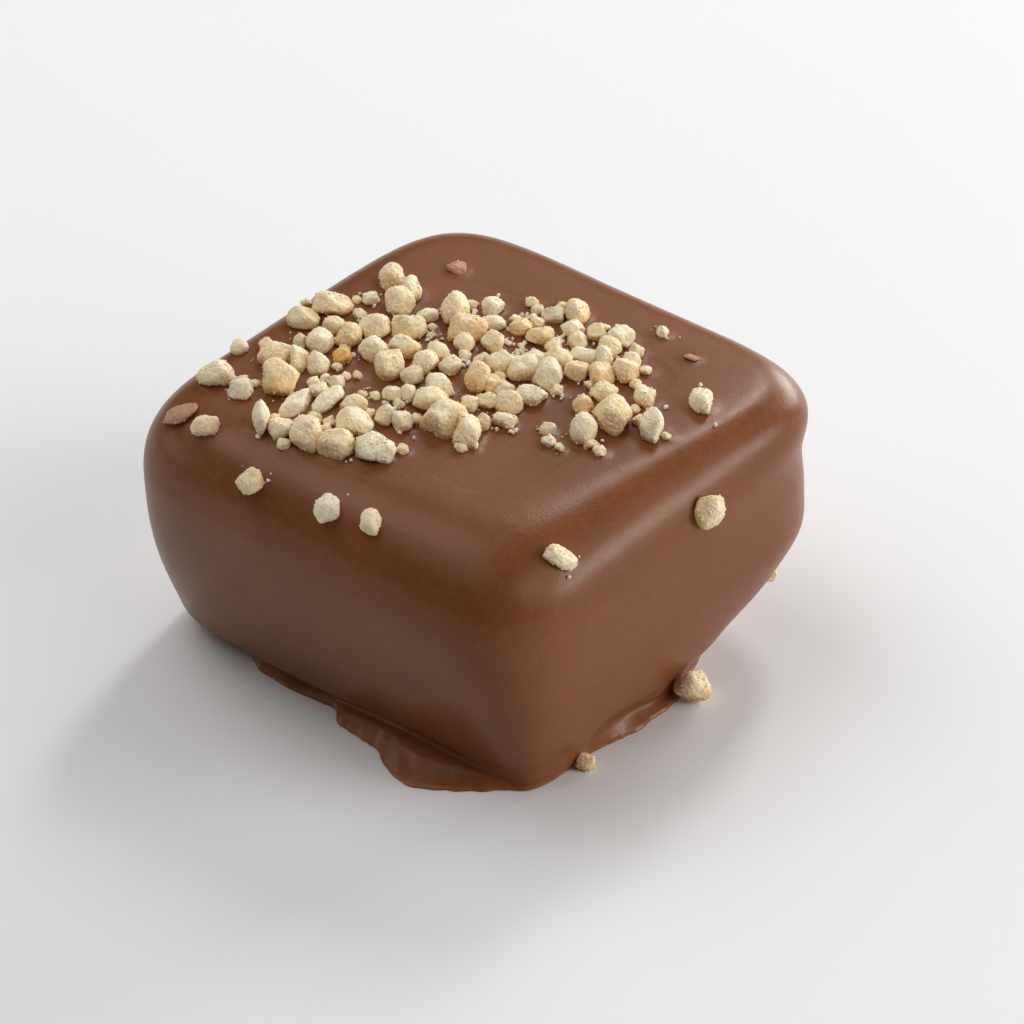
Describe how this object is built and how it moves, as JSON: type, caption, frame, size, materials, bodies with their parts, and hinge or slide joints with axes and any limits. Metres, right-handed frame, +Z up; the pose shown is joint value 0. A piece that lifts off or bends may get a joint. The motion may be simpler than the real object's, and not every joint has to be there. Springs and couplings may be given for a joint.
{
  "type": "hazelnut praline",
  "caption": "Square milk chocolate praline with rounded edges, chopped hazelnuts strewn on top and a thin run-out foot of chocolate.",
  "frame": {"origin": "middle of the underside, under the middle of the whole praline's bounding box", "axes": "+Z up out of the top with the nuts; -Y out of the wall whose foot runs out furthest near a corner; +X out of the wall to its right"},
  "size_m": [0.0288, 0.028, 0.0168],
  "materials": {
    "chocolate": "satin milk chocolate, lightly mottled, with cream chopped hazelnuts on top"
  },
  "bodies": {
    "root": {"praline": "chocolate"}
  },
  "joints": []
}
